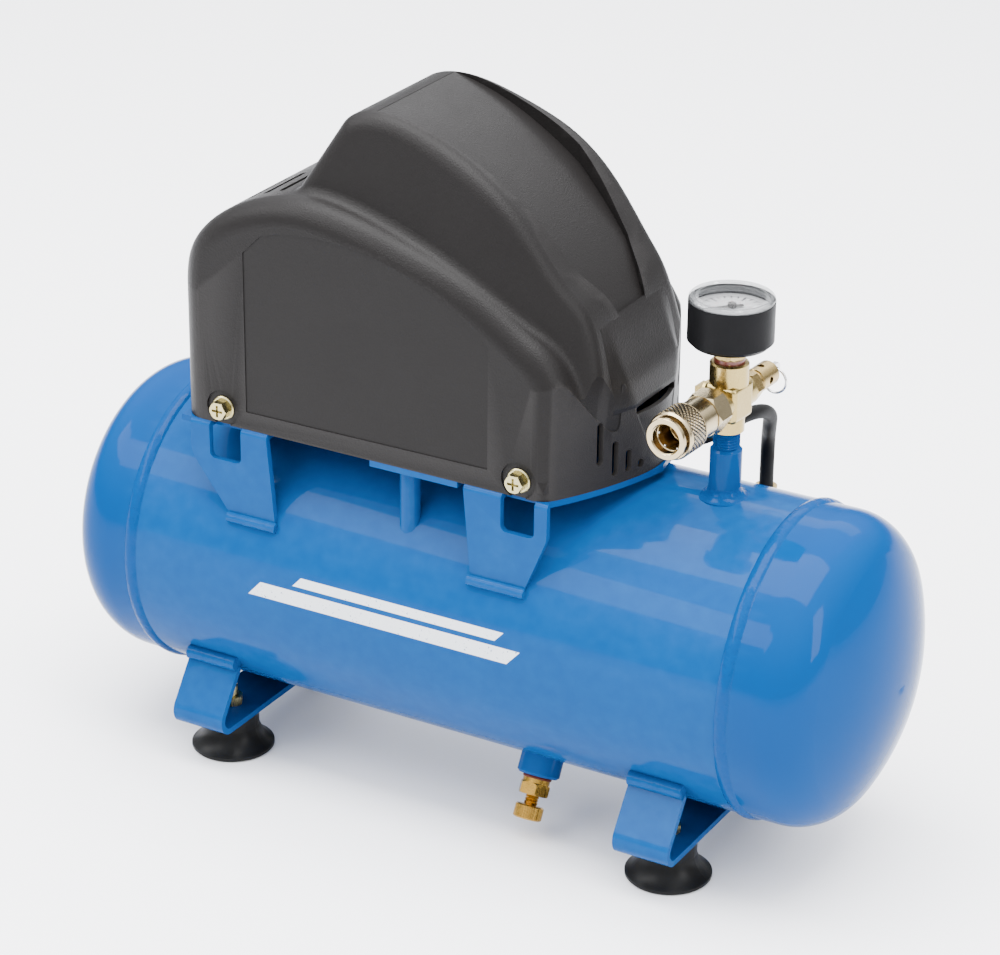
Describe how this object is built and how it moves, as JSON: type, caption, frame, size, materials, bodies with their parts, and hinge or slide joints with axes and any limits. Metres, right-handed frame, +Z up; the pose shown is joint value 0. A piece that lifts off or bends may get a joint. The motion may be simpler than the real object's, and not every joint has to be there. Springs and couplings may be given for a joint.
{
  "type": "airbrush compressor",
  "caption": "Small oil-free compressor on a horizontal air tank, with a ridged shroud, brass outlet cross, quick coupler, pressure gauge, relief valve and tank drain.",
  "frame": {"origin": "on the ground under the rubber feet, below the middle of the whole object; the tank's axis runs 6.9 mm in front of it", "axes": "+X along the tank towards the gauge and coupler, -Y to the front with the drain, +Z up"},
  "size_m": [0.4356, 0.1683, 0.3469],
  "materials": {
    "blue_enamel": "gloss",
    "shroud_plastic": "fine grain",
    "black_rubber": "satin",
    "zinc_steel": "yellow zinc",
    "brass": "machined",
    "drain_brass": "machined",
    "sealant": "satin",
    "nickel_plate": "plated",
    "bright_steel": "bright",
    "cast_aluminium": "cast",
    "cast_iron": "cast",
    "motor_steel": "laminated",
    "copper_wire": "enamelled",
    "black_plastic": "matt",
    "white_plastic": "matt",
    "gauge_black": "satin",
    "gauge_works": "machined",
    "gauge_dial": "printed",
    "gauge_needle": "satin",
    "gauge_lens": "clear"
  },
  "bodies": {
    "base": {"tank_shell": "blue_enamel", "tank_head_left": "blue_enamel", "tank_head_right": "blue_enamel", "weld_beads": "blue_enamel", "standpipe": "blue_enamel", "tank_bungs": "blue_enamel", "foot_strap_left": "blue_enamel", "foot_strap_right": "blue_enamel", "platform": "blue_enamel", "platform_posts": "blue_enamel", "shroud": "shroud_plastic", "rubber_feet": "black_rubber", "rubber_isolators": "black_rubber", "cord_gland": "black_rubber", "discharge_hose": "black_rubber", "shroud_screws": "zinc_steel", "foot_screws": "zinc_steel", "hex_nuts": "zinc_steel", "motor_bolts": "zinc_steel", "head_bolts": "zinc_steel", "capacitor_clamp": "zinc_steel", "manifold_cross": "brass", "port_plug": "brass", "check_valve_body": "brass", "safety_valve_body": "brass", "drain_body": "drain_brass", "drain_seal": "sealant", "coupler_body": "nickel_plate", "coupler_springs": "bright_steel", "coupler_balls": "bright_steel", "safety_valve_spring": "bright_steel", "shaft_bearings": "bright_steel", "valve_plate": "bright_steel", "pump_housing": "cast_aluminium", "fan_end_bell": "cast_aluminium", "pump_cylinder": "cast_aluminium", "cylinder_head": "cast_aluminium", "stator_core": "motor_steel", "stator_windings": "copper_wire", "intake_filter": "black_plastic", "run_capacitor": "white_plastic", "gauge_case": "gauge_black", "gauge_movement": "gauge_works", "gauge_dial": "gauge_dial", "gauge_lens": "gauge_lens"},
    "motor_rotor": {"rotor_core": "motor_steel", "motor_shaft": "bright_steel", "cooling_fan": "black_plastic", "crank_disc": "cast_iron"},
    "piston": {"piston_rod": "cast_aluminium", "rod_bearing": "bright_steel", "piston_cup": "sealant"},
    "pressure_needle": {"gauge_needle": "gauge_needle"},
    "coupler_collar": {"coupler_sleeve": "nickel_plate"},
    "coupler_valve": {"coupler_poppet": "sealant"},
    "relief_stem": {"safety_valve_stem": "bright_steel"},
    "relief_ring": {"safety_pull_ring": "bright_steel"},
    "check_ball": {"check_valve_ball": "bright_steel"},
    "drain_plunger": {"drain_seat": "sealant"},
    "drain_screw": {"drain_knob": "drain_brass"}
  },
  "joints": [
    {"name": "motor_spin", "type": "hinge", "parent": "base", "child": "motor_rotor", "pos_m": [0, -0.0069, 0.235], "axis": [1, 0, 0], "continuous": true},
    {"name": "piston_stroke", "type": "slide", "parent": "base", "child": "piston", "axis": [0, 0, 1], "range_m": [0, 0.014]},
    {"name": "needle_sweep", "type": "hinge", "parent": "base", "child": "pressure_needle", "pos_m": [0.1236, -0.0069, 0.273], "axis": [0, 0, -1], "range_deg": [0, 270]},
    {"name": "collar_pull", "type": "slide", "parent": "base", "child": "coupler_collar", "axis": [0.0576, 0.9983, 0], "range_m": [0, 0.005], "stiffness_N_per_m": 900},
    {"name": "coupler_valve_push", "type": "slide", "parent": "base", "child": "coupler_valve", "axis": [0.0576, 0.9983, 0], "range_m": [0, 0.003], "stiffness_N_per_m": 600},
    {"name": "relief_lift", "type": "slide", "parent": "base", "child": "relief_stem", "axis": [0.0576, 0.9983, 0], "range_m": [0, 0.003], "stiffness_N_per_m": 1500},
    {"name": "ring_swing", "type": "hinge", "parent": "relief_stem", "child": "relief_ring", "pos_m": [0.12613, 0.03703, 0.228], "axis": [0.9983, -0.0576, 0], "range_deg": [-35, 90]},
    {"name": "check_ball_drop", "type": "slide", "parent": "base", "child": "check_ball", "axis": [0, 0.3746, -0.9272], "range_m": [0, 0.002], "stiffness_N_per_m": 60},
    {"name": "drain_open", "type": "slide", "parent": "base", "child": "drain_plunger", "axis": [0, -0.4924, -0.8704], "range_m": [0, 0.002]},
    {"name": "drain_turn", "type": "hinge", "parent": "drain_plunger", "child": "drain_screw", "pos_m": [0.0503, -0.05614, 0.01696], "axis": [0, -0.4924, -0.8704], "range_deg": [0, 720]}
  ],
  "couplings": [
    {"joint": "drain_turn", "follows": "drain_open", "rad_per_m": 6283.2}
  ]
}
